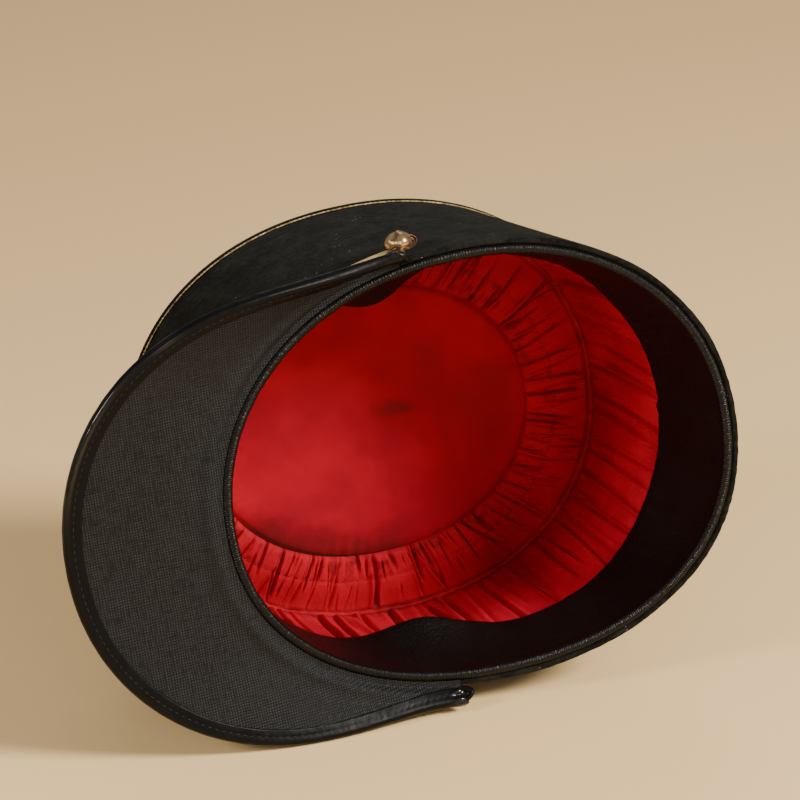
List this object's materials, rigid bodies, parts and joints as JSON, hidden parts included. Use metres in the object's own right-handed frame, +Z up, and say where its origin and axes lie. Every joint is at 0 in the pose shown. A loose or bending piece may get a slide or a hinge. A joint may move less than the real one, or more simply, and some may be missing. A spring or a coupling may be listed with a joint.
{
  "type": "kepi cap",
  "caption": "Stiff felt kepi with a flat top, leaning crown, bound leather peak, gold chin strap, brass buttons, sweatband and gathered red lining, lying on its side.",
  "frame": {"origin": "on the surface that the cap lies on, under the middle of its bounding box", "axes": "+X along the head towards the nape, +Y from the mouth to the top of the crown, +Z up, which is the wearer's left"},
  "size_m": [0.268, 0.1304, 0.1893],
  "materials": {
    "felt": "black wool felt with a soft nap, a fuzzy edge and a few specks of lint",
    "gold_cord": "twisted cord of worn gilt thread",
    "peak_leather": "smooth black leather board with a dull shine",
    "grained_leather": "charcoal leather embossed with a fine linen grid, satin",
    "patent_leather": "black patent leather, glossy and a little crumpled, with one row of stitches",
    "sweat_leather": "thin black brown leather, creased, with a worn shine",
    "red_cotton": "red polished cotton, gathered, with age marks",
    "brass": "domed button of old worn brass"
  },
  "bodies": {
    "root": {"crown_side": "felt", "crown_top": "felt", "top_piping": "gold_cord", "peak": "peak_leather", "peak_lining": "grained_leather", "peak_binding": "patent_leather", "rim_roll": "sweat_leather", "sweatband": "sweat_leather", "lining_disc": "red_cotton", "lining_gather": "red_cotton", "lining_seam": "red_cotton", "lining_side": "red_cotton", "chin_strap": "gold_cord", "button_left": "brass", "button_right": "brass"}
  },
  "joints": []
}
